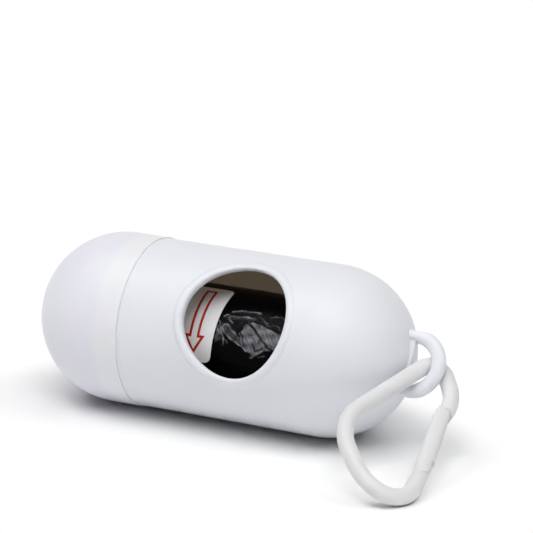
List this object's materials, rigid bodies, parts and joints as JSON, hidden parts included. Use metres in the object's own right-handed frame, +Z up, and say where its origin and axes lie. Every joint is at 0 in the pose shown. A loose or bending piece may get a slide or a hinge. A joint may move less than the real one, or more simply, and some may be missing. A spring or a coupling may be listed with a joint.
{
  "type": "dog waste bag dispenser",
  "caption": "Capsule-shaped dispenser lying on its side: round dispensing opening with raised lip over a bag roll, push-on end cap, D-shaped end loop and small snap clip",
  "frame": {"origin": "middle of the hole of the end loop, on the axis of the capsule", "axes": "+X runs along the capsule from the cap to the loop; +Z is up as the part lies on its side; the dispensing opening faces -Y and up"},
  "size_m": [0.1097, 0.0591, 0.0393],
  "materials": {
    "body_plastic": "injection-moulded white plastic, satin gloss",
    "cap_plastic": "slightly translucent white plastic, satin gloss",
    "clip_plastic": "injection-moulded warm white plastic, satin gloss",
    "core_board": "wound grey-brown board, matte",
    "bag_film": "thin black polyethylene film, wrinkled and glossy",
    "label_paper": null,
    "pin_steel": "drawn steel wire",
    "spring_steel": "spring steel wire"
  },
  "bodies": {
    "body": {"body_shell": "body_plastic"},
    "cap": {"end_cap": "cap_plastic"},
    "roll": {"bag_roll": "bag_film", "core_tube": "core_board", "loose_bag_end": "bag_film", "roll_label": "label_paper"},
    "clip": {"carabiner_frame": "clip_plastic"},
    "gate": {"carabiner_gate": "clip_plastic", "gate_pin": "pin_steel", "gate_spring": "spring_steel"}
  },
  "joints": [
    {"name": "cap_pull", "type": "slide", "parent": "body", "child": "cap", "axis": [-1, 0, 0], "range_m": [0, 0.03]},
    {"name": "roll_turn", "type": "hinge", "parent": "body", "child": "roll", "pos_m": [-0.0493, 0, -0.0033], "axis": [1, 0, 0], "continuous": true},
    {"name": "clip_swing", "type": "hinge", "parent": "body", "child": "clip", "pos_m": [0.0012, -0.0024, -0.0014], "axis": [-1, 0, 0], "range_deg": [0, 45]},
    {"name": "gate_open", "type": "hinge", "parent": "clip", "child": "gate", "pos_m": [0.00872, -0.0092, -0.00852], "axis": [-0.5095, 0.2376, -0.827], "range_deg": [0, 25], "stiffness_Nm_per_rad": 0.02, "springref_deg": -11.46, "deforming": ["gate_spring"]}
  ]
}
